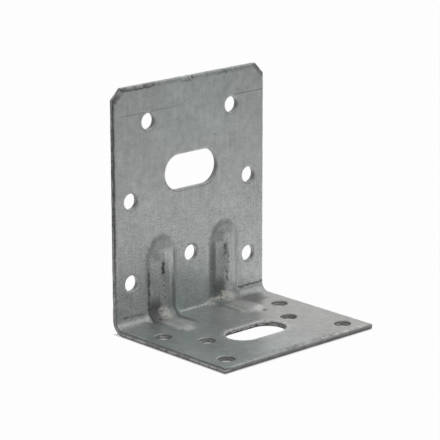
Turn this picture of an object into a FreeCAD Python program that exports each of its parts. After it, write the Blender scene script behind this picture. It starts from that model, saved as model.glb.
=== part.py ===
import FreeCAD, Part
import math
import os

# Reinforcing angle: one folded sheet, punched for nails and bolts, with two pressed ribs across the fold.
# X runs along the fold, the base leg points to -Y and the upright leg stands at +Y.
# The origin is on the underside, below the middle of the part's box. Millimetres and degrees.

# Sheet and fold
width = 57.0
height = 70.5
depth = 46.5
sheet = 1.5
inner_bend_radius = 2.5
corner_cut = 3.1
edge_break = 0.25

# Nail holes: margins run from the free edges, heights from the underside, reaches from the back
nail_diameter = 5.0
side_nail_margin = 6.0
narrow_nail_pitch = 31.5
upper_nail_margin = 10.8
middle_nail_height = 37.75
lower_nail_height = 13.9
centre_nail_height = 18.5
rear_nail_reach = 14.75
middle_nail_reach = 25.5
front_nail_margin = 6.0

# Bolt slots, one in each leg, along the fold
slot_width = 10.5
slot_length = 20.0
upright_slot_height = 43.2
base_slot_reach = 28.3

# Ribs: each rises from the sheet on straight flanks to a round crest, which turns with the fold
rib_pitch = 24.2
rib_flank_angle = 19.0
rib_crest_radius = 2.5
upright_rib_rise = 1.5
base_rib_rise = 0.95
rib_turn_radius = 3.0
rib_crest_height = 20.5
rib_crest_reach = 13.0
rib_foot_round = 2.0

# How far a tool runs past the faces that it cuts, and how near counts as touching
overrun = 1.0
touch = 0.001

# Places that follow from the sizes
back = depth / 2
front = -depth / 2
upright_face = back - sheet
base_face = sheet
outer_bend_radius = inner_bend_radius + sheet
fold_y = back - outer_bend_radius
fold_z = outer_bend_radius
side_nail = width / 2 - side_nail_margin
narrow_nail = narrow_nail_pitch / 2
turn_y = upright_face - upright_rib_rise - rib_turn_radius
crest_z = base_face + base_rib_rise
turn_z = crest_z + rib_turn_radius

across = FreeCAD.Vector(1, 0, 0)
outward = FreeCAD.Vector(0, -1, 0)
upward = FreeCAD.Vector(0, 0, 1)
both_sides = (-1, 1)


def at(x, y, z):
    return FreeCAD.Vector(x, y, z)


def line(start, end):
    return Part.LineSegment(start, end).toShape()


def arc(start, middle, end):
    return Part.Arc(start, middle, end).toShape()


def round_point(centre, radius, angle):
    """A point round a centre in the XZ plane, with the angle measured from straight up towards +X."""
    turn = math.radians(angle)
    return centre + at(radius * math.sin(turn), 0, radius * math.cos(turn))


def fold_point(radius, angle):
    """A point round the fold's axis: 0 degrees at the upright leg, 90 at the base leg."""
    turn = math.radians(angle)
    return at(0, fold_y + radius * math.cos(turn), fold_z - radius * math.sin(turn))


def fold_arc(radius, start, end):
    return arc(fold_point(radius, start), fold_point(radius, (start + end) / 2), fold_point(radius, end))


def face(edges):
    return Part.Face(Part.Wire(edges))


def moved(shape, place):
    copy = shape.copy()
    copy.translate(place)
    return copy


def turned(shape, centre):
    """The shape turned a quarter about X, from lying on the base leg to standing on the upright leg."""
    copy = shape.copy()
    copy.rotate(centre, across, 90)
    return copy


def drawn_across(edges):
    """A solid as wide as the part from the edges of a side profile."""
    return moved(face(edges), across * (-width / 2)).extrude(across * width)


# Sides and rims of the sheet

def on_side(place, inset):
    """True for a point on the sheet's outer side (inset 0) or on its inner side (inset sheet)."""
    if place.y > fold_y and place.z < fold_z:
        return abs(math.hypot(place.y - fold_y, place.z - fold_z) - outer_bend_radius + inset) < touch
    return abs(place.y - back + inset) < touch or abs(place.z - inset) < touch


def side_edges(shape, inset):
    """The edges that lie on one side of the sheet, apart from the lines where the legs run into the fold."""
    found = []
    for edge in shape.Edges:
        box = edge.BoundBox
        runs_across = box.YLength < touch and box.ZLength < touch
        starts_fold = abs(box.YMin - fold_y) < touch or abs(box.ZMin - fold_z) < touch
        if edge.Degenerated or (runs_across and starts_fold):
            continue
        if all(on_side(place, inset) for place in edge.discretize(5)):
            found.append(edge)
    return found


def inside_border(edge):
    box = edge.BoundBox
    off_sides = max(-box.XMin, box.XMax) < width / 2 - sheet
    off_ends = box.ZMax < height - sheet and box.YMin > front + sheet
    return off_sides and off_ends


# The folded sheet

def folded_sheet():
    """The plain angle: top corners of the upright leg cut off, and the rim of its inner side broken."""
    top_back = at(0, back, height)
    top_front = at(0, upright_face, height)
    toe_low = at(0, front, 0)
    toe_high = at(0, front, base_face)
    angle = drawn_across([
        line(top_back, fold_point(outer_bend_radius, 0)),
        fold_arc(outer_bend_radius, 0, 90),
        line(fold_point(outer_bend_radius, 90), toe_low),
        line(toe_low, toe_high),
        line(toe_high, fold_point(inner_bend_radius, 90)),
        fold_arc(inner_bend_radius, 90, 0),
        line(fold_point(inner_bend_radius, 0), top_front),
        line(top_front, top_back),
    ])
    angle = angle.makeChamfer(corner_cut, [edge for edge in angle.Edges if is_top_corner(edge)])
    return angle.makeChamfer(edge_break, side_edges(angle, sheet))


def is_top_corner(edge):
    box = edge.BoundBox
    return box.ZMin > height - touch and box.XLength < touch


# The ribs

def rib_sections(sunk):
    """The rib's cross-section and its right half, with the crest at the origin before it is sunk.
    The flanks run on until they are past the outside of the fold."""
    fold_reach = math.hypot(fold_y - turn_y, fold_z - turn_z) + outer_bend_radius
    bottom = fold_reach - rib_turn_radius + overrun
    crest = upward * -sunk
    middle = crest - upward * bottom
    centre = crest - upward * rib_crest_radius
    left, right = (round_point(centre, rib_crest_radius, side * rib_flank_angle) for side in both_sides)
    spread = (right.z - middle.z) / math.tan(math.radians(rib_flank_angle))
    left_foot = at(left.x - spread, 0, middle.z)
    right_foot = at(right.x + spread, 0, middle.z)
    whole = face([
        arc(left, crest, right),
        line(right, right_foot),
        line(right_foot, left_foot),
        line(left_foot, left),
    ])
    half = face([
        arc(crest, round_point(centre, rib_crest_radius, rib_flank_angle / 2), right),
        line(right, right_foot),
        line(right_foot, middle),
        line(middle, crest),
    ])
    return whole, half


def rib(sunk):
    """A rib in the middle of the width: out along the base leg, round the fold and up the upright leg.
    Each end is half of the section turned about its own middle line."""
    whole, half = rib_sections(sunk)
    turn_axis = at(0, turn_y, turn_z)
    turn_start = at(0, turn_y, crest_z)
    base_end = at(0, back - rib_crest_reach, crest_z)
    climb = upward * (rib_crest_height - turn_z)
    base_section = moved(whole, turn_start)
    upright_end = moved(turned(moved(half, turn_start), turn_axis), climb)
    runs = [
        base_section.extrude(base_end - turn_start),
        moved(half, base_end).revolve(base_end, upward, -180),
        base_section.revolve(turn_axis, across, 90),
        turned(base_section, turn_axis).extrude(climb),
        upright_end.revolve(turn_axis + climb, outward, 180),
    ]
    return runs[0].multiFuse(runs[1:]).removeSplitter()


def inner_space():
    """All that lies inside the middle of the sheet's thickness, to which the raised ribs are trimmed."""
    radius = outer_bend_radius - sheet / 2
    heel = fold_point(radius, 0)
    sole = fold_point(radius, 90)
    toe = at(0, front, sole.z)
    far_top = at(0, front, height)
    top = at(0, heel.y, height)
    return drawn_across([
        fold_arc(radius, 0, 90),
        line(sole, toe),
        line(toe, far_top),
        line(far_top, top),
        line(top, heel),
    ])


def pressed(angle):
    """Raises both ribs on the inner side, hollows them from the outer side and rounds their feet."""
    raised = rib(0).common(inner_space())
    hollow = rib(sheet)
    middles = [across * (side * rib_pitch / 2) for side in both_sides]
    angle = angle.multiFuse([moved(raised, middle) for middle in middles])
    angle = angle.cut([moved(hollow, middle) for middle in middles]).removeSplitter()
    for inset, radius in ((sheet, rib_foot_round), (0, rib_foot_round + sheet)):
        angle = angle.makeFillet(radius, [edge for edge in side_edges(angle, inset) if inside_border(edge)])
    return angle


# The holes

def punch_profile(radius):
    """Half of a punch's section in the YZ plane, standing on the origin, which is on the sheet's inner face.
    Its cone leaves the hole's inner rim broken like the sheet's border."""
    low = -sheet - overrun
    mouth = radius + edge_break
    corners = [
        at(0, 0, low),
        at(0, radius, low),
        at(0, radius, -edge_break),
        at(0, mouth, 0),
        at(0, mouth, overrun),
        at(0, 0, overrun),
    ]
    return Part.Face(Part.makePolygon(corners + corners[:1]))


def nail_punch():
    return punch_profile(nail_diameter / 2).revolve(at(0, 0, 0), upward, 360)


def slot_punch():
    """Two half-round ends and the straight stretch between them."""
    origin = at(0, 0, 0)
    straight = across * (slot_length - slot_width)
    right = moved(punch_profile(slot_width / 2), straight / 2)
    right_end = right.revolve(straight / 2, upward, -180)
    far_side = right.extrude(-straight)
    near_side = far_side.mirror(origin, outward)
    left_end = right_end.mirror(origin, across)
    return right_end.multiFuse([far_side, near_side, left_end]).removeSplitter()


def punched(angle):
    """Cuts the nail holes and the slots of both legs."""
    upright_nails = [at(0, upright_face, centre_nail_height)]
    base_nails = []
    for side in both_sides:
        upright_nails.append(at(side * narrow_nail, upright_face, height - upper_nail_margin))
        upright_nails.append(at(side * side_nail, upright_face, middle_nail_height))
        upright_nails.append(at(side * side_nail, upright_face, lower_nail_height))
        base_nails.append(at(side * side_nail, back - rear_nail_reach, base_face))
        base_nails.append(at(side * narrow_nail, back - middle_nail_reach, base_face))
        base_nails.append(at(side * side_nail, front + front_nail_margin, base_face))
    origin = at(0, 0, 0)
    nail = nail_punch()
    slot = slot_punch()
    tools = [moved(turned(nail, origin), place) for place in upright_nails]
    tools += [moved(nail, place) for place in base_nails]
    tools.append(moved(turned(slot, origin), at(0, upright_face, upright_slot_height)))
    tools.append(moved(slot, at(0, back - base_slot_reach, base_face)))
    return angle.cut(tools)


reinforcing_angle = punched(pressed(folded_sheet())).Solids[0]
os.makedirs("parts", exist_ok=True)
reinforcing_angle.exportStep("parts/reinforcing_angle.step")
print("reinforcing_angle", round(reinforcing_angle.Volume), "cubic millimetres")
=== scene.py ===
import math
import bpy
import numpy as np
from mathutils import Matrix, Vector


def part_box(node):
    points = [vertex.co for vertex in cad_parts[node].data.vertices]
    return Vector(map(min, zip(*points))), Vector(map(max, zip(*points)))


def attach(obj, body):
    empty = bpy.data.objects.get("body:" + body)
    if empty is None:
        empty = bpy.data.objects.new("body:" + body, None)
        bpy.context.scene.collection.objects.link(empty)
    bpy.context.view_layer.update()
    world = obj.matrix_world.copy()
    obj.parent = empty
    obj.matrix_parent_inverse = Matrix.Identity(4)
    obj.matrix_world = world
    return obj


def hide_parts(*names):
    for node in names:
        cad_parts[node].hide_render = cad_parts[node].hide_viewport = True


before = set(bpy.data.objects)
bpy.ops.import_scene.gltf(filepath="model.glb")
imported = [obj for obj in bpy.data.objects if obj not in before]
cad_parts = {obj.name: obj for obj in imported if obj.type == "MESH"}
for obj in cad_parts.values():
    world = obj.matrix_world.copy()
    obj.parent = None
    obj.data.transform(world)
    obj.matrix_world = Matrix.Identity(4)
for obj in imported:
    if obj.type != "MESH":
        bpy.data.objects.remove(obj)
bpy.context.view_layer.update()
scene = bpy.context.scene
scene.view_settings.view_transform = "Standard"
perMetre = 1000  # the sheet is worked out in millimetres
print("frame loaded:", sorted(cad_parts))

cameraSetup = {
    "place": (-0.42625, -0.45328, 0.20638),
    "aim": (-0.00516, 0.00394, 0.03286),
    "roll": -0.11,  # degrees
    "lens": 189.32,  # on the 36 mm sensor
    "clipEnd": 20,
}


def placeCamera(setup):
    camera = bpy.data.objects.new("viewCamera", bpy.data.cameras.new("viewCamera"))
    camera.data.lens = setup["lens"]
    camera.data.clip_end = setup["clipEnd"]
    look = Vector(setup["aim"]) - Vector(setup["place"])
    turn = look.to_track_quat("-Z", "Y").to_matrix().to_4x4()
    roll = Matrix.Rotation(math.radians(setup["roll"]), 4, "Z")
    camera.matrix_world = Matrix.Translation(setup["place"]) @ turn @ roll
    scene.collection.objects.link(camera)
    scene.camera = camera


placeCamera(cameraSetup)
print("camera placed")

form = {  # the folded sheet, in millimetres and degrees
    "thickness": 1.5,
    "bendRadius": 2.5,
    "tightRadius": 0.9,  # the fold between the ribs
    "tightHalf": 14.0,
    "tightFade": 4.0,
    "cornerCut": 3.1,
    "rimWidth": 0.7,  # rolled rim on the ribs' side
    "rimDepth": 0.28,
    "rimTurns": (10.0, 20.0, 32.0, 45.0, 60.0, 75.0, 90.0),  # rows round the rolled rim
    "faceReach": 0.9,  # share of the rim's depth that has the face's finish
    "shearEnd": 0.45,  # smooth part of the cut, as a share of the thickness
    "tearStart": 0.6,
    "tearLean": (0.02, 0.05),  # the torn part leans back by this at its start and end
    "backRim": 0.06,  # broken rim on the outer side
    "ribPitch": 24.2,
    "ribMiddle": 0.6,  # the press set both ribs a little to the right
    "ribSlope": 11.0,  # gentle roof over the rib's middle
    "ridgeRound": 1.2,
    "stepStart": 3.7,  # steeper foot, from the rib's line
    "stepWidth": 1.6,
    "stepDrop": 0.75,
    "outerSlope": 0.45,
    "uprightRise": 1.5,
    "baseRise": 0.95,
    "ribTurn": 3.0,
    "ribTop": 18.65,  # crest's upper end, above the underside
    "topStretch": 0.78,  # below 1 the end is drawn out, above 1 it is shortened
    "topFull": 2.8,  # 2 for a round end, more for a fuller one, less for a pointed one
    "ribReach": 12.2,  # crest's lower end, from the back
    "reachStretch": 1.25,
    "reachFull": 1.5,
    "endSlope": 0.1,  # soft dome at the ends
    "endRound": 1.3,
    "shoulderStart": 2.7,  # the dome's shoulder
    "shoulderWidth": 1.4,
    "shoulderDrop": 0.26,
    "skirtStart": 4.6,  # slope below the shoulder
    "skirtSlope": 0.4,
    "fallStart": 8.0,  # from this height up the crest falls a little
    "crestFall": 0.035,
    "footBlend": 0.4,
    "foldSpan": 6.0,  # length given to the fold in the developed sheet
    "nailRadius": 2.35,  # at the throat of the punched hole
    "slotLength": 19.8,
    "slotWidth": 10.3,
    "uprightNails": ((-15.75, 59.7), (15.75, 59.7), (-22.5, 37.75), (22.5, 37.75),
                     (-22.5, 13.9), (22.5, 13.9), (0.0, 18.5)),  # x, height
    "baseNails": ((-22.5, 8.5), (22.5, 8.5), (-15.75, -2.25), (15.75, -2.25),
                  (-22.5, -17.25), (22.5, -17.25)),  # x, y
    "uprightSlot": (0.3, 43.2),
    "baseSlot": (0.0, -5.05),
    "gridStep": 0.42,
    "foldRows": 22,
    "holeMargin": 1.25,  # grid cells give way to rings this far round a hole
    "ringSteps": (0.25, 0.5, 0.75, 0.93, 1.0),
    "smoothAngle": 38.0,
    "slopeStep": 0.01,  # half the step over which slopes are taken
    "leastAway": 0.001,
    "ragged": 0.05,  # unevenness of the outer border
    # length and shift of each wave's two sines
    "raggedWaves": ((0.9, 0.0, 2.3, 1.0), (1.4, 2.0, 5.1, 0.0)),
    # x, height, depth and width of dents in the border
    "nicks": ((-1.6, 70.5, 0.3, 0.9), (1.1, 70.5, 0.22, 0.6), (-9.5, 70.5, 0.12, 0.8),
              (14.2, 70.5, 0.12, 0.7), (27.6, 68.2, 0.3, 0.8), (26.1, 69.8, 0.2, 0.6),
              (-27.4, 68.9, 0.15, 0.8), (28.5, 21.0, 0.12, 1.0), (-28.5, 9.0, 0.15, 1.2)),
}
low, high = (np.array(corner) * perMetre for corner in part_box("reinforcing_angle"))
halfWidth, back, front, height = high[0], high[1], low[1], high[2]
uprightGap = form["uprightRise"] + form["ribTurn"]  # from the ribs' turning axis to each leg
baseGap = form["baseRise"] + form["ribTurn"]
turnY = back - form["thickness"] - uprightGap
turnZ = form["thickness"] + baseGap
runOfHeight = form["foldSpan"] - turnZ  # run on the upright leg is height plus this
runOfReach = -turnY  # run on the base leg is y plus this
slotStretch = (form["slotLength"] - form["slotWidth"]) / 2  # half a slot's straight part


# Drop from a rib's crest. Beside the crest: a gentle roof with a rounded ridge, a step at the foot and a
# slope. Past its ends: a soft dome, a shoulder and a skirt. Between the two, a mix by the square of the
# sine of the direction from the crest's end.
def ribDrop(aside, pastEnd, full):
    away = (np.abs(aside) ** full + pastEnd ** full) ** (1 / full)
    roof = np.hypot(away, form["ridgeRound"]) - form["ridgeRound"]
    roof *= math.tan(math.radians(form["ribSlope"]))
    past = away - form["stepStart"] - form["stepWidth"]
    side = roof + form["stepDrop"] * smoothShare(past / form["stepWidth"] + 1)
    side += np.maximum(past, 0) * form["outerSlope"]
    dome = (np.hypot(away, form["endRound"]) - form["endRound"]) * form["endSlope"]
    dome += form["shoulderDrop"] * smoothShare((away - form["shoulderStart"]) / form["shoulderWidth"])
    dome += np.maximum(away - form["skirtStart"], 0) * form["skirtSlope"]
    return side + (dome - side) * (pastEnd / np.maximum(away, form["leastAway"])) ** 2


# A share from 0 to 1 that starts and ends softly: three times its square less twice its cube.
def smoothShare(value):
    share = np.clip(value, 0, 1)
    return share * share * (3 - 2 * share)


# The smaller of two lengths, with the corner between them rounded off by a parabola where they are close.
def softMin(a, b, rounding):
    share = np.clip(0.5 + 0.5 * (b - a) / rounding, 0, 1)
    return b + (a - b) * share - rounding * share * (1 - share)


# Inner radius of the fold at x: the bend's, turning softly into the tight one between the ribs.
def foldRadius(x):
    tight = smoothShare((form["tightHalf"] - np.abs(x - form["ribMiddle"])) / form["tightFade"])
    return form["bendRadius"] + (form["tightRadius"] - form["bendRadius"]) * tight


# Length of a slanted ray from the ribs' turning axis to the plain bend: leg plane, arc, leg plane.
def plainBend(slant, radius):
    level, down = np.cos(slant), np.sin(slant)
    inY, inZ = uprightGap - radius, baseGap - radius
    reach = level * inY + down * inZ
    arc = reach + np.sqrt(np.maximum(reach ** 2 - inY ** 2 - inZ ** 2 + radius ** 2, 0))
    ray = np.where(uprightGap * down < inZ * level, uprightGap / np.maximum(level, down), arc)
    return np.where(baseGap * level < inY * down, baseGap / np.maximum(level, down), ray)


# Inner face at x and run. Run is y on the base leg, then the turn about the ribs' axis, then the height.
# The face lies at the nearer of the plain sheet and the rib.
def innerFace(x, run):
    y = turnY + np.minimum(run, 0)
    z = turnZ + np.maximum(run - form["foldSpan"], 0)
    slant = math.pi / 2 * (1 - np.clip(run / form["foldSpan"], 0, 1))
    below = np.maximum(back - form["ribReach"] - y, 0) * form["reachStretch"]
    above = np.maximum(z - form["ribTop"], 0) * form["topStretch"]
    aside = np.abs(x - form["ribMiddle"]) - form["ribPitch"] / 2
    full = np.where(below > 0, form["reachFull"], form["topFull"])
    drop = ribDrop(aside, below + above, full) + np.maximum(z - form["fallStart"], 0) * form["crestFall"]
    ray = softMin(plainBend(slant, foldRadius(x)), form["ribTurn"] + drop, form["footBlend"])
    return np.stack([x, y + ray * np.cos(slant), z - ray * np.sin(slant)], axis=-1)


# Vectors divided by their lengths.
def unit(vectors):
    return vectors / np.linalg.norm(vectors, axis=-1, keepdims=True)


# Normal as the cross product of the face's two slopes, towards the ribs' side.
def innerNormal(x, run):
    step = form["slopeStep"]
    across = innerFace(x + step, run) - innerFace(x - step, run)
    along = innerFace(x, run + step) - innerFace(x, run - step)
    return unit(np.cross(across, along))


# Grid lines at an even step, a close line along each border and a row where the top corners are cut.
def gridLines():
    roll, step, span = form["rimWidth"], form["gridStep"], form["foldSpan"]
    close = roll / 2
    border = halfWidth - roll
    toe = front + roll + runOfReach
    top = height - roll + runOfHeight
    columns = np.r_[-border,
                    np.linspace(close - border, border - close, int(2 * border / step) + 1), border]
    rows = np.r_[toe, np.linspace(toe + close, 0, int(-toe / step) + 1),
                 np.linspace(0, span, form["foldRows"] + 1)[1:-1],
                 np.linspace(span, top - close, int((top - span) / step) + 1), top]
    cutStart = top - form["cornerCut"] + roll * (2 - math.sqrt(2))
    rows[np.argmin(np.abs(rows - cutStart))] = cutStart
    return columns, rows


# Every hole as x, run, radius and half its straight stretch.
def sheetHoles():
    holes = [(x, z + runOfHeight, form["nailRadius"], 0) for x, z in form["uprightNails"]]
    holes += [(x, y + runOfReach, form["nailRadius"], 0) for x, y in form["baseNails"]]
    slots = ((form["uprightSlot"], runOfHeight), (form["baseSlot"], runOfReach))
    return holes + [(x, place + shift, form["slotWidth"] / 2, slotStretch) for (x, place), shift in slots]


# Quads between two loops: each step of the first with the same step of the second.
def joinLoops(first, second):
    return np.stack([first, np.roll(first, -1), np.roll(second, -1), second], axis=1)


# Flat layout of the sheet: grid points and cells, rings from each block of cells to its hole, edge loops.
# A ring's points lie at one share of the way from the block's border to the hole's rim.
def layOutSheet():
    columns, rows = gridLines()
    x, run = np.meshgrid(columns, rows)
    border = halfWidth - form["rimWidth"]
    cutLine = halfWidth + height + runOfHeight - form["cornerCut"] - form["rimWidth"] * math.sqrt(2)
    x = x * np.minimum(border, cutLine - run) / border
    ids = np.arange(x.size).reshape(x.shape)
    keep = np.ones((len(rows) - 1, len(columns) - 1), bool)
    xs, runs, quads, loops = [x.ravel()], [run.ravel()], [], []
    made = x.size
    for holeX, holeRun, radius, stretch in sheetHoles():
        reach = radius + form["holeMargin"]
        left, right = (np.argmin(np.abs(columns - holeX - side * (reach + stretch))) for side in (-1, 1))
        bottom, top = (np.argmin(np.abs(rows - holeRun - side * reach)) for side in (-1, 1))
        keep[bottom:top, left:right] = False
        loop = np.r_[ids[bottom, left:right], ids[bottom:top, right],
                     ids[top, right:left:-1], ids[top:bottom:-1, left]]
        outX, outRun = xs[0][loop] - holeX, runs[0][loop] - holeRun
        coreX = np.clip(outX, -stretch, stretch)
        shrink = (radius + form["rimWidth"]) / np.hypot(outX - coreX, outRun)
        edgeX, edgeRun = coreX + (outX - coreX) * shrink, outRun * shrink
        for share in form["ringSteps"]:
            xs.append(holeX + outX + (edgeX - outX) * share)
            runs.append(holeRun + outRun + (edgeRun - outRun) * share)
            ring = np.arange(made, made + len(loop))
            quads.append(joinLoops(loop, ring))
            loop, made = ring, made + len(ring)
        loops.append(loop)
    cells = np.stack([ids[:-1, :-1], ids[:-1, 1:], ids[1:, 1:], ids[1:, :-1]], axis=-1)
    quads.append(cells[keep])
    outline = np.r_[ids[0, :-1], ids[:-1, -1], ids[-1, :0:-1], ids[:0:-1, 0]]
    loops.append(outline[::-1])
    return np.concatenate(xs), np.concatenate(runs), np.concatenate(quads), loops


# Section of a cut edge as steps outwards and depths: a quarter of an ellipse for the rolled rim,
# the smooth shear, then a tear that leans back.
def cutProfile():
    roll, deep = form["rimWidth"], form["thickness"]
    turn = np.radians(form["rimTurns"])
    out = np.r_[roll * np.sin(turn), roll, roll - np.array(form["tearLean"])]
    down = np.r_[form["rimDepth"] * (1 - np.cos(turn)),
                 form["shearEnd"] * deep, form["tearStart"] * deep, deep - form["backRim"]]
    return out, down


# How far the border lies inside its line: waves, each the product of two sines of the way along it,
# and dents, each a bell curve of the distance from its middle.
def borderDents(points):
    trail = np.cumsum(np.linalg.norm(points - np.roll(points, 1, axis=0), axis=1))
    waves = sum(np.sin(trail / first + shift) * np.sin(trail / second + secondShift)
                for first, shift, second, secondShift in form["raggedWaves"])
    dents = form["ragged"] * (1 + waves / 2)
    for x, z, depth, spread in form["nicks"]:
        dents += depth * np.exp(-((points[:, 0] - x) ** 2 + (points[:, 2] - z) ** 2) / spread ** 2)
    return dents[:, None]


# The sheet: both faces, a thickness apart along the normal, and the cut profile carried round each loop.
def buildSheet():
    xs, runs, quads, loops = layOutSheet()
    count = len(xs)
    inner, normal = innerFace(xs, runs), innerNormal(xs, runs)
    outer = inner - normal * form["thickness"]
    out, down = cutProfile()
    rimRows = np.count_nonzero(down < form["faceReach"] * form["rimDepth"])
    faces, walls = [quads, quads[:, ::-1] + count], []
    points, sources, depths = [inner, outer], [np.arange(count)] * 2, [np.repeat([0.0, 1.0], count)]
    made = 2 * count
    for loop in loops:
        edge, up = inner[loop], normal[loop]
        side = np.cross(up, unit(np.roll(edge, -1, axis=0) - edge))
        sideBefore = np.roll(side, 1, axis=0)
        outward = (side + sideBefore) / (1 + np.sum(side * sideBefore, axis=1, keepdims=True))  # mitred
        dents = borderDents(edge) if loop is loops[-1] else np.zeros((len(loop), 1))
        strips = np.arange(made, made + len(out) * len(loop)).reshape(len(out), len(loop))
        made += strips.size
        shares = 1 - dents / form["rimWidth"]
        rings = edge + outward * shares * out[:, None, None] - up * down[:, None, None]
        points.append(rings.reshape(-1, 3))
        sources.append(np.tile(loop, len(out)))
        depths.append(np.repeat(down / form["thickness"], len(loop)))
        outer[loop] += outward * (out[-1] - form["backRim"]) * shares
        chain = [loop, *strips, loop + count]
        joined = [joinLoops(first, second) for first, second in zip(chain, chain[1:])]
        faces += joined[:rimRows]
        walls += joined[rimRows:]
    sources = np.concatenate(sources)
    places = np.stack([xs[sources], runs[sources], np.concatenate(depths)], axis=-1)
    return meshFromParts(np.concatenate(points), places, faces, walls)


# The mesh from the points that are in use, with the walls in the second finish.
# Each point keeps its place on the sheet: x, run and the depth of the cut as a share of the thickness.
def meshFromParts(points, places, faces, walls):
    quads = np.concatenate(faces + walls)
    used, corners = np.unique(quads, return_inverse=True)
    mesh = bpy.data.meshes.new("foldedSheet")
    mesh.from_pydata((points[used] / perMetre).tolist(), [], corners.reshape(quads.shape).tolist())
    isWall = np.arange(len(quads)) >= sum(map(len, faces))
    mesh.polygons.foreach_set("material_index", isWall.astype(np.int32))
    mesh.polygons.foreach_set("use_smooth", np.ones(len(quads), bool))
    kept = mesh.attributes.new("sheetPlace", "FLOAT_VECTOR", "POINT")
    kept.data.foreach_set("vector", places[used].astype(np.float32).ravel())
    mesh.set_sharp_from_angle(angle=math.radians(form["smoothAngle"]))
    mesh.update()
    sheet = bpy.data.objects.new("foldedSheet", mesh)
    scene.collection.objects.link(sheet)
    return sheet


sheet = buildSheet()
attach(sheet, "root")
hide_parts("reinforcing_angle")
print("sheet built:", len(sheet.data.polygons), "faces")


# Links sockets to a node's inputs, or sets their values.
def fill(tree, node, inputs):
    for key, value in inputs.items():
        if isinstance(value, bpy.types.NodeSocket):
            tree.links.new(value, node.inputs[key])
        else:
            node.inputs[key].default_value = value
    return node


def put(tree, kind, inputs=None, **settings):
    node = tree.nodes.new("ShaderNode" + kind)
    for name, value in settings.items():
        setattr(node, name, value)
    return fill(tree, node, inputs or {})


def calc(tree, operation, *values):
    return put(tree, "Math", dict(enumerate(values)), operation=operation).outputs[0]


def product(tree, *values):
    result = values[0]
    for value in values[1:]:
        result = calc(tree, "MULTIPLY", result, value)
    return result


def blend(tree, share, first, second):
    return put(tree, "Mix", {0: share, 6: first, 7: second}, data_type="RGBA").outputs[2]


def between(tree, share, first, second):
    return put(tree, "Mix", {0: share, 2: first, 3: second}, data_type="FLOAT").outputs[0]


def remap(tree, value, fromLow, fromHigh, toLow=0.0, toHigh=1.0, smooth=False):
    kind = "SMOOTHSTEP" if smooth else "LINEAR"
    return put(tree, "MapRange", {0: value, 1: fromLow, 2: fromHigh, 3: toLow, 4: toHigh},
               interpolation_type=kind).outputs[0]


def noise(tree, place, scale, detail, roughness=0.5):
    inputs = {"Vector": place, "Scale": scale, "Detail": detail, "Roughness": roughness}
    return put(tree, "TexNoise", inputs).outputs


def distance(tree, first, second):
    pair = put(tree, "CombineXYZ", {0: first, 1: second}).outputs[0]
    return put(tree, "VectorMath", {0: pair}, operation="LENGTH").outputs["Value"]


# How far a value lies past a limit, on either side of zero.
def beyond(tree, value, limit):
    return calc(tree, "MAXIMUM", calc(tree, "SUBTRACT", calc(tree, "ABSOLUTE", value), limit), 0.0)


def scaled(tree, colour, tone):
    return put(tree, "VectorMath", {0: colour, "Scale": tone}, operation="SCALE").outputs[0]


def bumped(tree, lift, finish):
    inputs = {"Height": lift, "Strength": finish["bumpStrength"], "Distance": finish["bumpDistance"]}
    return put(tree, "Bump", inputs).outputs[0]


def newGroup(name, inputs, outputs):
    group = bpy.data.node_groups.new(name, "ShaderNodeTree")
    for socket in inputs:
        kind = "NodeSocketVector" if socket == "place" else "NodeSocketFloat"
        group.interface.new_socket(socket, in_out="INPUT", socket_type=kind)
    for socket in outputs:
        group.interface.new_socket(socket, in_out="OUTPUT", socket_type="NodeSocketFloat")
    return group, group.nodes.new("NodeGroupInput").outputs, group.nodes.new("NodeGroupOutput")


def useGroup(tree, group, **inputs):
    return put(tree, "Group", inputs, node_tree=group).outputs


skinForm = {
    "cloud": (0.1, 3.0, 0.5),  # scale, detail and roughness of the noise
    "patch": (0.4, 2.0, 0.6),
    "streak": (1.0, 3.0, 0.6),
    "grain": (1.9, 1.0, 0.5),
    "height": (0.8, 1.0, 0.5),
    "spots": (3.0, 0.6),  # detail and roughness; the scale follows from the spots' size
    "streakDraw": (1.4, 0.09, 1.0),  # rolling draws the streaks out along the run
    "cloudRough": 0.12,
}


# A stripe round one value of a coordinate: full within half, gone past half plus fade.
def makeStripe():
    group, given, result = newGroup("stripe", ["value", "centre", "half", "fade"], ["mask"])
    away = calc(group, "ABSOLUTE", calc(group, "SUBTRACT", given["value"], given["centre"]))
    outside = calc(group, "ADD", given["half"], given["fade"])
    fill(group, result, {"mask": remap(group, away, given["half"], outside, 1.0, 0.0, smooth=True)})
    return group


# Ragged patches: noise above a level.
def makePatches():
    group, given, result = newGroup("patches", ["place", "size", "level", "soft"], ["mask"])
    field = noise(group, given["place"], calc(group, "DIVIDE", 1.0, given["size"]), *skinForm["spots"])[0]
    top = calc(group, "ADD", given["level"], given["soft"])
    fill(group, result, {"mask": remap(group, field, given["level"], top, smooth=True)})
    return group


# Zinc skin: clouds, patches, rolling streaks and fine grain as one tone about 1,
# with a roughness change from the clouds and a height.
def makeZincSkin():
    shares = ["cloud", "patch", "streak", "grain"]
    group, given, result = newGroup("zincSkin", ["place"] + shares, ["tone", "rough", "height"])
    drawing = {0: given["place"], 1: skinForm["streakDraw"]}
    drawn = put(group, "VectorMath", drawing, operation="MULTIPLY").outputs[0]
    tone, swings = 1.0, {}
    for name in shares:
        field = noise(group, drawn if name == "streak" else given["place"], *skinForm[name])[0]
        swings[name] = calc(group, "SUBTRACT", field, 0.5)
        tone = calc(group, "MULTIPLY_ADD", swings[name], given[name], tone)
    fill(group, result, {
        "tone": tone,
        "rough": calc(group, "MULTIPLY", swings["cloud"], skinForm["cloudRough"]),
        "height": noise(group, given["place"], *skinForm["height"])[0],
    })
    return group


stripe, patches, zincSkin = makeStripe(), makePatches(), makeZincSkin()


def newMaterial(name):
    material = bpy.data.materials.new(name)
    material.use_nodes = True
    return material, material.node_tree, material.node_tree.nodes["Principled BSDF"]


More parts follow.
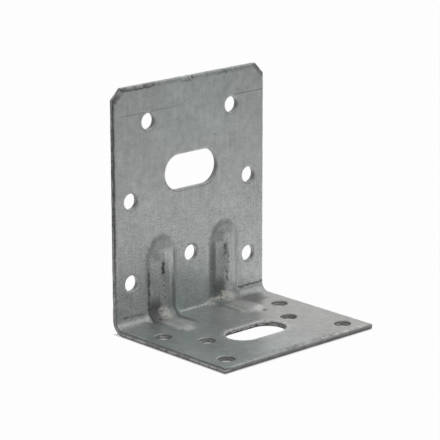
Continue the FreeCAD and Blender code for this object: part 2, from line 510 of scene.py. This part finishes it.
def band(tree, value, centre, half, fade):
    return useGroup(tree, stripe, value=value, centre=centre, half=half, fade=fade)["mask"]


def spots(tree, place, size, level, soft):
    return useGroup(tree, patches, place=place, size=size, level=level, soft=soft)["mask"]


# A mark's mask: its share times the masks named under "only", a band on each coordinate under "on",
# what a band leaves free under "off", a ramp under "ramp" and ragged patches. A band is centre, half
# and fade, a ramp its two ends and the values there, a patch its size, level and softness.
def markMask(tree, at, mark):
    factors = [at[name] for name in mark.get("only", [])]
    factors += [band(tree, at[name], *line) for name, line in mark.get("on", {}).items()]
    factors += [calc(tree, "SUBTRACT", 1.0, band(tree, at[name], *line))
                for name, line in mark.get("off", {}).items()]
    factors += [remap(tree, at[name], *ends) for name, ends in mark.get("ramp", {}).items()]
    factors += [spots(tree, at["place"], *patch) for patch in mark.get("patches", [])]
    return product(tree, mark.get("share", 1.0), *factors)


# Several marks as one mask, the strongest at each place.
def strongest(tree, at, marks):
    total = 0.0
    for mark in marks:
        total = calc(tree, "MAXIMUM", total, markMask(tree, at, mark))
    return total


def sheetPlaces(tree):
    place = put(tree, "Attribute", attribute_name="sheetPlace").outputs["Vector"]
    x, run, depth = put(tree, "SeparateXYZ", {0: place}).outputs
    return dict(place=place, x=x, run=run, depth=depth)


topRun = height + runOfHeight
toeRun = front + runOfReach
slotRun = form["baseSlot"][1] + runOfReach
cutSum = halfWidth + topRun - form["cornerCut"]  # x plus run along the cut corners

# Bands, ramps and patches that several marks share
ribBand = (0.0, 5.2, 0.8)
foldLine = (4.95, 0.05, 0.4)
scratchLine = (63.05, 0.05, 0.12)
topLine = (topRun - 0.95, 0.05, 0.4)
onBaseLeg = (-2.0, 2.0, 1.0, 0.0)
broadPatch = (3.0, 0.2, 0.3)
dullPatch = (3.0, 0.15, 0.3)
cloudPatch = (7.0, 0.25, 0.35)

zincFinish = {
    "clean": (0.437, 0.453, 0.444, 1),
    "cool": (0.446, 0.486, 0.478, 1),  # bluer zinc near the top
    "paintedWarmLight": (0.438, 0.436, 0.424, 1),  # painted warm light on the right of the base leg
    # painted reflection: greener, darker zinc where the sheet mirrors itself
    "paintedGreenReflection": (0.395, 0.447, 0.434, 1),
    # bright for burrs, chips and burnished flecks, and for painted highlights
    "burnishAndHighlight": (0.7, 0.71, 0.695, 1),
    # dark for stains, scuffs, scratches and nicks, and for painted shade
    "stainAndShade": (0.06, 0.061, 0.06, 1),
    "crust": (0.54, 0.53, 0.485, 1),
    "crustDark": (0.16, 0.155, 0.14, 1),
    "skin": {"cloud": 0.45, "patch": 0.42, "streak": 0.35},
    "grainBand": (16.0, 14.0, 14.0),  # coarser on the lower half of the upright leg
    "grainEnds": (0.4, 1.0),
    "waverNoise": (0.9, 2.0),
    "waverAcross": (1.5, 4.0, 0.8, 0.35),  # ragged on the ribs' crests, calmer at their feet
    "waverAlong": 0.5,
    "roughness": 0.325,
    "markRough": 0.3,
    "metallic": 0.47,
    "crustMetallic": -0.7,
    "crustLift": 0.8,
    "bumpStrength": 0.35,
    "bumpDistance": 0.0001,
    "areas": {
        "cool": [dict(on=dict(x=(3.0, 8.0, 12.0), run=(62.0, 6.0, 8.0)))],
        # painted warm light: warmer zinc towards the right of the base leg
        "paintedWarmLight": [dict(only=["inside"], ramp=dict(run=onBaseLeg, x=(2.0, 16.0)))],
        # painted reflection on the left of the base leg and low between the ribs and the fold
        "paintedGreenReflection": [dict(only=["inside"], ramp=dict(run=onBaseLeg, x=(-14.0, 9.0, 1.0, 0.0)),
                        patches=[cloudPatch]),
                   dict(only=["inside"], on=dict(x=(0.0, 9.0, 4.0), run=(7.5, 5.5, 5.0)),
                        patches=[cloudPatch])],
    },
    # stains, scratches and nicks, with painted shade beside the fold, under the top rim and on the left
    # rim
    "stainsAndShade": {
        # a darker ring round the ribs' upper ends, stronger on their left, fading out lower down
        "ribEnds": dict(on=dict(away=(5.3, 0.2, 1.0)), patches=[broadPatch], share=0.31,
                        ramp=dict(run=(6.0, 14.0), wavyLateral=(-3.0, 3.0, 1.0, 0.6))),
        "foldLeft": dict(on=dict(wavyRun=foldLine, x=(-22.5, 8.0, 0.5)), off=dict(wavyLateral=ribBand),
                         patches=[(3.0, 0.36, 0.25)], share=0.5),
        "foldRight": dict(on=dict(wavyRun=foldLine, x=(22.5, 8.0, 0.5)), off=dict(wavyLateral=ribBand),
                          patches=[(3.0, 0.2, 0.25)], share=0.72),
        "shadeLeft": dict(on=dict(run=(1.5, 1.5, 2.0), x=(-22.0, 4.0, 3.0)),
                          patches=[dullPatch], share=0.12),
        "shadeRight": dict(on=dict(run=(-0.3, 2.0, 2.2), x=(18.8, 3.0, 4.0)),
                           patches=[dullPatch], share=0.42),
        "scratchLeft": dict(on=dict(run=scratchLine, x=(-16.0, 10.0, 1.0)), share=0.35),
        "scratchRight": dict(on=dict(run=scratchLine, x=(23.0, 5.5, 1.0)), share=0.6),
        # painted shade under the rolled top rim, with dirt: a dark ragged line below the top edge
        "topRim": dict(on=dict(wavyRun=topLine), patches=[broadPatch], share=0.22),
        "topLeft": dict(on=dict(wavyRun=topLine, x=(-22.0, 3.5, 12.0)),
                        patches=[broadPatch] * 2, share=0.8),
        "topRight": dict(on=dict(wavyRun=topLine, x=(12.5, 1.0, 2.0)), patches=[broadPatch], share=0.6),
        "topNick": dict(on=dict(wavyRun=(topRun - 1.0, 0.2, 0.7), x=(-0.6, 1.2, 2.4)),
                        patches=[(0.7, 0.36, 0.35)], share=0.95),
        "cutCorners": dict(on=dict(fromCut=(cutSum - 1.0, 0.3, 1.5)),
                           patches=[(1.6, 0.3, 0.3)], share=0.65),
        # painted shade: the face's rim darker along the left side
        "leftRimShade": dict(ramp=dict(depth=(0.01, 0.08), x=(-27.0, -26.0, 0.8, 0.0)),
                        patches=[(4.0, 0.25, 0.3)]),
        "toeNicks": dict(on=dict(run=(toeRun + 1.2, 0.2, 0.6), x=(4.0, 10.0, 6.0)),
                         patches=[(1.4, 0.44, 0.2)], share=0.75),
        "speck": dict(on=dict(run=(52.5, 0.05, 0.3), x=(9.4, 0.5, 0.5)), share=0.35),
    },
    "burnishesAndHighlight": {
        # painted highlight along the fold, off the ribs, faint on the left and between them, gone to the
        # right
        "foldLine": dict(on=dict(run=(3.5, 0.1, 0.4)), off=dict(wavyLateral=ribBand),
                         ramp=dict(x=(10.0, 16.0, 0.22, 0.0)), patches=[(2.5, 0.25, 0.3)]),
        "slotRim": dict(on=dict(fromSlot=(form["slotWidth"] / 2 + 0.8, 0.5, 0.5)),
                        patches=[(0.9, 0.42, 0.15)], share=0.6),
        "topBurr": dict(on=dict(run=(topRun - 0.5, 0.35, 0.4), x=(-0.6, 1.4, 1.4)),
                        patches=[(0.8, 0.45, 0.15)], share=0.7),
        "toeChips": dict(on=dict(run=(toeRun + 1.0, 0.2, 0.5), x=(18.0, 6.0, 6.0)),
                         patches=[(1.3, 0.46, 0.15)], share=0.85),
    },
    "crusts": {  # where the ribs turn with the fold
        "turns": dict(on=dict(wavyRun=(3.4, 1.6, 1.6), wavyLateral=(-0.4, 1.0, 1.4)),
                      patches=[(1.7, 0.36, 0.2)]),
        "strip": dict(on=dict(wavyRun=(3.3, 0.4, 0.6), wavyLateral=(-4.2, 2.2, 1.0)),
                      only=["rightRib"], patches=[(1.0, 0.36, 0.2)]),
    },
    "crustSpecks": (1.2, 0.54, 0.14),
    # Scuffs and dark creases of the press on a rib, and painted shade on its flanks, low near the fold
    # and at its upper end: side, bands across it and along the run, patch size and level, share
    "ribMarkSoft": 0.25,
    "darkScuffsAndShade": (
        (-1, (-0.3, 0.25, 0.55), (17.1, 1.3, 1.0), 0.8, 0.24, 1.0),
        (-1, (-0.3, 0.5, 0.9), (16.8, 2.0, 1.5), 1.5, 0.3, 0.4),
        (-1, (-0.1, 0.1, 0.4), (20.2, 0.8, 0.8), 0.8, 0.35, 0.5),
        (-1, (-0.1, 0.12, 0.5), (10.0, 4.5, 1.5), 0.8, 0.42, 0.8),
        (-1, (0.1, 0.8, 0.9), (12.0, 4.0, 3.5), 0.9, 0.4, 0.4),
        (-1, (-4.9, 0.15, 0.7), (10.5, 6.0, 4.0), 3.0, 0.2, 0.5),
        (-1, (-4.85, 0.12, 0.35), (9.0, 6.5, 3.0), 2.2, 0.2, 0.85),
        (-1, (-3.2, 0.9, 2.0), (4.5, 1.0, 6.0), 3.0, 0.15, 0.8),
        (-1, (-3.0, 0.6, 0.8), (2.8, 1.2, 1.2), 1.0, 0.35, 0.9),
        (-1, (4.1, 0.7, 1.1), (5.0, 5.5, 9.0), 4.0, 0.1, 0.6),
        (-1, (2.0, 0.6, 1.0), (4.0, 3.0, 7.0), 4.0, 0.1, 0.36),
        (-1, (-2.4, 1.4, 1.2), (11.0, 4.0, 4.0), 3.0, 0.15, 0.2),
        (-1, (1.1, 0.6, 0.7), (10.5, 5.5, 4.0), 3.0, 0.12, 0.32),
        (-1, (4.9, 0.1, 0.8), (13.0, 7.0, 4.0), 2.5, 0.2, 0.44),
        (-1, (-2.2, 0.8, 1.2), (20.6, 0.6, 1.4), 2.0, 0.2, 0.22),
        (1, (-0.3, 0.2, 0.9), (18.0, 1.2, 1.2), 1.5, 0.28, 0.8),
        (1, (-0.9, 0.1, 0.7), (16.0, 1.2, 1.0), 1.0, 0.36, 0.6),
        (1, (0.7, 0.1, 0.6), (14.9, 1.0, 1.0), 1.2, 0.34, 0.7),
        (1, (-0.2, 0.6, 1.3), (15.5, 3.5, 2.5), 1.5, 0.3, 0.4),
        (1, (0.0, 0.1, 0.7), (10.0, 1.2, 1.2), 0.9, 0.33, 0.8),
        (1, (-4.7, 0.5, 1.0), (12.0, 6.5, 5.0), 2.5, 0.2, 0.5),
        (1, (-4.6, 0.15, 0.6), (11.0, 4.5, 4.0), 1.6, 0.34, 0.6),
        (1, (-2.9, 1.2, 1.7), (5.5, 1.5, 6.0), 3.0, 0.12, 0.68),
        (1, (-1.9, 0.8, 1.2), (13.5, 4.0, 4.0), 3.0, 0.12, 0.2),
        (1, (-2.0, 0.8, 1.0), (22.0, 1.0, 1.5), 2.0, 0.2, 0.3),
        (1, (3.4, 1.2, 1.2), (13.0, 8.0, 4.0), 4.0, 0.1, 0.16),
        (1, (4.8, 0.1, 0.35), (13.5, 8.0, 3.0), 2.5, 0.25, 0.45),
        (1, (3.6, 0.8, 1.4), (4.0, 1.5, 4.0), 3.0, 0.2, 0.35),
        (1, (2.2, 0.3, 0.9), (-10.5, 0.2, 0.8), 1.0, 0.1, 0.6),
    ),
    # painted highlights on the ribs: along their ridges on the base leg, inside their upper ends and on
    # their right flanks
    "ribHighlights": (
        (-1, (-3.2, 0.4, 0.9), (-3.5, 3.5, 1.5), 1.6, 0.2, 0.9),
        (-1, (-1.5, 0.8, 1.6), (-8.2, 0.5, 2.2), 1.4, 0.22, 0.75),
        (-1, (-0.5, 2.2, 1.6), (-3.0, 3.5, 3.0), 2.2, 0.2, 0.62),
        (-1, (-0.4, 0.3, 0.6), (-6.0, 3.0, 1.0), 0.9, 0.35, 0.8),
        (-1, (0.4, 1.2, 1.6), (22.3, 0.6, 1.6), 2.5, 0.1, 0.1),
        (-1, (3.3, 0.3, 0.6), (14.0, 6.0, 4.0), 3.0, 0.2, 0.12),
        (1, (-0.8, 0.8, 1.4), (-8.0, 0.8, 2.2), 1.4, 0.25, 0.42),
        (1, (1.2, 0.5, 1.2), (-8.0, 1.5, 1.5), 1.6, 0.2, 0.45),
        (1, (-3.4, 0.2, 0.7), (-4.0, 3.5, 1.5), 1.6, 0.25, 0.6),
        (1, (1.0, 2.5, 1.5), (-4.5, 3.5, 2.0), 2.2, 0.2, 0.4),
        (1, (2.9, 0.35, 0.6), (14.0, 7.0, 4.0), 3.0, 0.2, 0.3),
        (1, (4.3, 0.15, 0.5), (-5.0, 2.5, 2.0), 1.2, 0.25, 0.6),
    ),
}


# The scuffs, painted shade and painted highlights written out as marks on the left rib (-1) or the right
# rib (1).
def ribMarks(scuffsAndPaintedLight, soft):
    ribs = {-1: "leftRib", 1: "rightRib"}
    return [dict(only=[ribs[side]], on=dict(wavyLateral=across, run=lengthwise),
                 patches=[(size, level, soft)], share=share)
            for side, across, lengthwise, size, level, share in scuffsAndPaintedLight]


# Coordinates for the marks: from the line of the nearer rib, round the ribs' upper ends, from the cut
# corners and from the base leg's slot. The wavy ones make a mark's outline ragged.
def facePlaces(tree, finish):
    at = sheetPlaces(tree)
    fromMiddle = calc(tree, "SUBTRACT", at["x"], form["ribMiddle"])
    side = calc(tree, "SIGN", fromMiddle)
    lateral = calc(tree, "MULTIPLY_ADD", side, -form["ribPitch"] / 2, fromMiddle)
    fromEnd = calc(tree, "SUBTRACT", at["run"], form["ribTop"] + runOfHeight)
    aboveEnd = calc(tree, "MAXIMUM", fromEnd, 0.0)
    waver = noise(tree, at["place"], *finish["waverNoise"])["Color"]
    waverX, waverRun = put(tree, "SeparateXYZ", {0: waver}).outputs[:2]
    waverReach = remap(tree, calc(tree, "ABSOLUTE", lateral), *finish["waverAcross"])
    shiftX = remap(tree, waverX, 0.0, 1.0, -1.0, 1.0)
    shiftRun = remap(tree, waverRun, 0.0, 1.0, -finish["waverAlong"], finish["waverAlong"])
    pastSlot = calc(tree, "SUBTRACT", at["run"], slotRun)
    at["wavyLateral"] = calc(tree, "MULTIPLY_ADD", shiftX, waverReach, lateral)
    at["wavyRun"] = calc(tree, "ADD", at["run"], shiftRun)
    at["away"] = distance(tree, lateral, calc(tree, "MULTIPLY", aboveEnd, form["topStretch"]))
    at["fromCut"] = calc(tree, "ADD", calc(tree, "ABSOLUTE", at["x"]), at["run"])
    at["fromSlot"] = distance(tree, beyond(tree, at["x"], slotStretch), pastSlot)
    at["rightRib"] = calc(tree, "GREATER_THAN", fromMiddle, 0.0)
    at["leftRib"] = calc(tree, "SUBTRACT", 1.0, at["rightRib"])
    at["inside"] = calc(tree, "LESS_THAN", at["depth"], 0.5)  # the ribs' side, which has the marks
    return at


# Zinc in four tones, one a painted warm light and one a painted reflection, then bright marks with
# painted highlights, dark marks with painted shade, and the pale crust with its specks.
def makeZincFace(finish):
    material, tree, shader = newMaterial("zincFace")
    at = facePlaces(tree, finish)
    grain = remap(tree, band(tree, at["run"], *finish["grainBand"]), 0.0, 1.0, *finish["grainEnds"])
    skin = useGroup(tree, zincSkin, place=at["place"], grain=grain, **finish["skin"])
    darkMarks = [*ribMarks(finish["darkScuffsAndShade"], finish["ribMarkSoft"]), *finish["stainsAndShade"].values()]
    brightMarks = [*ribMarks(finish["ribHighlights"], finish["ribMarkSoft"]), *finish["burnishesAndHighlight"].values()]
    dark, bright, crust = (product(tree, strongest(tree, at, marks), at["inside"])
                           for marks in (darkMarks, brightMarks, finish["crusts"].values()))
    zinc = finish["clean"]
    for tone, areas in finish["areas"].items():
        zinc = blend(tree, strongest(tree, at, areas), zinc, finish[tone])
    colour = blend(tree, bright, scaled(tree, zinc, skin["tone"]), finish["burnishAndHighlight"])
    colour = blend(tree, dark, colour, finish["stainAndShade"])
    specks = spots(tree, at["place"], *finish["crustSpecks"])
    crustColour = blend(tree, specks, finish["crust"], finish["crustDark"])
    rough = calc(tree, "ADD", skin["rough"], finish["roughness"])
    marked = calc(tree, "MAXIMUM", dark, crust)
    lift = calc(tree, "MULTIPLY_ADD", crust, finish["crustLift"], skin["height"])
    fill(tree, shader, {
        "Base Color": blend(tree, crust, colour, crustColour),
        "Roughness": calc(tree, "MULTIPLY_ADD", marked, finish["markRough"], rough),
        "Metallic": calc(tree, "MULTIPLY_ADD", crust, finish["crustMetallic"], finish["metallic"]),
        "Normal": bumped(tree, lift, finish),
    })
    return material


leftSide = (-27.0, -26.0, 1.0, 0.0)
farSlotWall = dict(run=(slotRun + 5.2, 1.2, 0.8), x=(0.0, 9.0, 2.0))

edgeFinish = {
    "sheared": (0.42, 0.43, 0.42, 1),
    "torn": (0.36, 0.362, 0.35, 1),
    "bright": (0.62, 0.62, 0.6, 1),
    "skin": {"cloud": 0.3, "patch": 0.6, "streak": 0.2, "grain": 0.5},
    "tearNoise": (0.7, 3.0),
    "tearEnds": (0.25, 0.75),  # depths between which the ragged line runs
    "tearFade": 0.1,
    "shadeTone": 0.6,
    "roughness": 0.42,
    "tornRough": 0.15,
    "shearedMetallic": 0.75,
    "tornMetallic": 0.35,
    "shineMetallic": 0.3,  # share left on the slot's bright wall
    "bumpStrength": 0.3,
    "bumpDistance": 0.0001,
    "slotShine": dict(on=farSlotWall, ramp=dict(depth=(0.3, 0.45, 1.0, 0.0)),
                      patches=[(1.2, 0.35, 0.2)]),
    "burrs": {
        "tearLine": dict(on=dict(pastTear=(0.12, 0.06, 0.1)), patches=[(1.6, 0.45, 0.12)],
                         ramp=dict(run=(toeRun + 0.95, toeRun + 1.05, 0.2, 1.0))),  # few in front
        "leftDashes": dict(on=dict(depth=(0.55, 0.08, 0.1)), ramp=dict(x=leftSide),
                           patches=[(2.4, 0.42, 0.15)]),
    },
    # painted shade: the left side, the lower front edge, the walls of the base leg's nail holes and the
    # foot of the slot's far wall
    "paintedShade": {
        "leftSide": dict(ramp=dict(x=leftSide)),
        "front": dict(on=dict(run=(toeRun, 0.95, 0.1)), ramp=dict(depth=(0.2, 0.6, 0.6, 1.3))),
        "baseHoles": dict(on=dict(run=(-20.5, 17.0, 0.5), aside=(16.0, 9.5, 1.0)),
                          only=["offShine"], share=0.75),
        "slotFoot": dict(on=farSlotWall, ramp=dict(depth=(0.3, 0.45)), share=1.7),
    },
}


# Cut edge: smooth shear, a ragged line with bright burrs, then the torn part, which is duller, with
# painted shade on the left side, low on the front edge, in the base leg's nail holes and at the foot of
# the slot's far wall.
def makeCutEdge(finish):
    material, tree, shader = newMaterial("cutEdge")
    at = sheetPlaces(tree)
    skin = useGroup(tree, zincSkin, place=at["place"], **finish["skin"])
    waver = noise(tree, at["place"], *finish["tearNoise"])[0]
    tearLine = remap(tree, waver, 0.0, 1.0, *finish["tearEnds"])
    shine = markMask(tree, at, finish["slotShine"])
    at["pastTear"] = calc(tree, "SUBTRACT", at["depth"], tearLine)
    at["aside"] = calc(tree, "ABSOLUTE", at["x"])
    at["offShine"] = calc(tree, "SUBTRACT", 1.0, shine)
    torn = remap(tree, at["pastTear"], -finish["tearFade"], finish["tearFade"])
    paintedShade = strongest(tree, at, finish["paintedShade"].values())
    shaded = calc(tree, "MULTIPLY_ADD", paintedShade, finish["shadeTone"] - 1, 1.0)
    tone = product(tree, skin["tone"], shaded)
    steel = scaled(tree, blend(tree, torn, finish["sheared"], finish["torn"]), tone)
    bright = calc(tree, "MAXIMUM", strongest(tree, at, finish["burrs"].values()), shine)
    rough = calc(tree, "ADD", skin["rough"], finish["roughness"])
    metallic = remap(tree, torn, 0.0, 1.0, finish["shearedMetallic"], finish["tornMetallic"])
    fill(tree, shader, {
        "Base Color": blend(tree, bright, steel, finish["bright"]),
        "Roughness": calc(tree, "MULTIPLY_ADD", torn, finish["tornRough"], rough),
        "Metallic": product(tree, metallic, remap(tree, shine, 0.0, 1.0, 1.0, finish["shineMetallic"])),
        "Normal": bumped(tree, skin["height"], finish),
    })
    return material


sheet.data.materials.append(makeZincFace(zincFinish))
sheet.data.materials.append(makeCutEdge(edgeFinish))
print("finishes made")

studio = {  # lengths in metres; a pair of ends is where a level starts and where it is full
    "floorSize": 6.0,
    "floorDrop": 0.0002,
    "floorColour": (0.85, 0.85, 0.85, 1),
    "floorRoughness": 0.9,
    "floorGlow": 0.96,  # share of the floor that shows plain white
    "holeGlow": 0.35,  # the same in the nail holes
    "slotMargin": 0.001,
    "slotFade": 0.0005,
    "nearLevel": 1.3,  # how bright metal sees the floor beside the part
    "rightFall": 2.1,  # loss for each metre to the right
    "leastLevel": 0.1,
    "frontFloor": 0.36,  # floor towards the viewer
    "frontEnds": (-0.085, -0.015),
    "leftFloor": 0.2,
    "leftEnds": (-0.115, -0.015),
    "contact": 0.006,  # reach of the dark under the part's edges
    "contactLevel": 0.4,
    "upLevel": 0.97,  # ceiling over the right side
    "leftUp": 0.18,  # ceiling over the left side
    "upEnds": (-0.6, 0.3),
    "ceilingEnds": (0.12, 0.48),
    "sideLevel": 0.9,  # far side
    "sideEnds": (0.3, 0.8),
    "frontLevel": 0.22,  # low room at the front
    "farSide": (0.68, 0.73, 0.0),
    "rightSide": (0.73, -0.68, 0.0),
}


def along(tree, place, direction):
    return put(tree, "VectorMath", {0: place, 1: direction}, operation="DOT_PRODUCT").outputs["Value"]


# How bright metal sees the floor: dimmer far right, to the left, to the front and close to the part.
def floorLevel(tree, setup, place, gap):
    right = along(tree, place, setup["rightSide"])
    far = along(tree, place, setup["farSide"])
    onRight = calc(tree, "MAXIMUM", right, 0.0)
    plain = calc(tree, "MULTIPLY_ADD", onRight, -setup["rightFall"], setup["nearLevel"])
    level = product(tree, plain,
                    remap(tree, right, *setup["leftEnds"], setup["leftFloor"], 1.0, smooth=True),
                    remap(tree, far, *setup["frontEnds"], setup["frontFloor"], 1.0, smooth=True),
                    remap(tree, gap, 0.0, setup["contact"], setup["contactLevel"], 1.0, smooth=True))
    return calc(tree, "MAXIMUM", level, setup["leastLevel"])


# Floor: plain white to the camera, apart from the shadow in the nail holes, and see-through from below.
def buildFloor(setup):
    half = setup["floorSize"] / 2
    mesh = bpy.data.meshes.new("paleFloor")
    corners = [(-half, -half, 0), (half, -half, 0), (half, half, 0), (-half, half, 0)]
    mesh.from_pydata(corners, [], [(0, 1, 2, 3)])
    floor = bpy.data.objects.new("paleFloor", mesh)
    floor.location.z = -setup["floorDrop"]
    scene.collection.objects.link(floor)
    material, tree, shader = newMaterial("paleFloor")
    fill(tree, shader, {"Base Color": setup["floorColour"], "Roughness": setup["floorRoughness"]})
    place = put(tree, "TexCoord").outputs["Object"]
    x, y = put(tree, "SeparateXYZ", {0: place}).outputs[:2]
    gap = distance(tree, beyond(tree, x, halfWidth / perMetre), beyond(tree, y, back / perMetre))
    slotX, slotY = (middle / perMetre for middle in form["baseSlot"])
    halfX = form["slotLength"] / 2 / perMetre + setup["slotMargin"]
    halfY = form["slotWidth"] / 2 / perMetre + setup["slotMargin"]
    slot = product(tree, band(tree, x, slotX, halfX, setup["slotFade"]),
                   band(tree, y, slotY, halfY, setup["slotFade"]))
    inOpen = calc(tree, "MAXIMUM", calc(tree, "GREATER_THAN", gap, 0.0), slot)
    path = put(tree, "LightPath").outputs
    glowShare = remap(tree, inOpen, 0.0, 1.0, setup["holeGlow"], setup["floorGlow"])
    white = product(tree, path["Is Camera Ray"], glowShare)
    mirrored = calc(tree, "MAXIMUM", path["Is Glossy Ray"], path["Is Transmission Ray"])
    strength = between(tree, mirrored, 1.0, floorLevel(tree, setup, place, gap))
    glow = put(tree, "Emission", {"Color": (1, 1, 1, 1), "Strength": strength}).outputs[0]
    glowing = calc(tree, "MAXIMUM", white, mirrored)
    lit = put(tree, "MixShader", {0: glowing, 1: shader.outputs[0], 2: glow}).outputs[0]
    below = put(tree, "NewGeometry").outputs["Backfacing"]
    clear = put(tree, "BsdfTransparent").outputs[0]
    oneSided = put(tree, "MixShader", {0: below, 1: lit, 2: clear}).outputs[0]
    fill(tree, tree.nodes["Material Output"], {"Surface": oneSided})
    mesh.materials.append(material)


# World: white to the camera; a bright far side, a ceiling bright on the right and a dim room in front.
def buildWorld(setup):
    world = bpy.data.worlds.new("studioWorld")
    scene.world = world
    world.use_nodes = True
    tree = world.node_tree
    direction = put(tree, "TexCoord").outputs["Generated"]
    up = put(tree, "SeparateXYZ", {0: direction}).outputs[2]
    right = along(tree, direction, setup["rightSide"])
    far = along(tree, direction, setup["farSide"])
    upLevel = remap(tree, right, *setup["upEnds"], setup["leftUp"], setup["upLevel"], smooth=True)
    ceiling = remap(tree, up, *setup["ceilingEnds"], setup["frontLevel"], upLevel, smooth=True)
    farSide = remap(tree, far, *setup["sideEnds"], setup["frontLevel"], setup["sideLevel"], smooth=True)
    camera = put(tree, "LightPath").outputs["Is Camera Ray"]
    level = between(tree, camera, calc(tree, "MAXIMUM", ceiling, farSide), 1.0)
    fill(tree, tree.nodes["Background"], {"Color": (1, 1, 1, 1), "Strength": level})


buildFloor(studio)
buildWorld(studio)
print("studio lit")
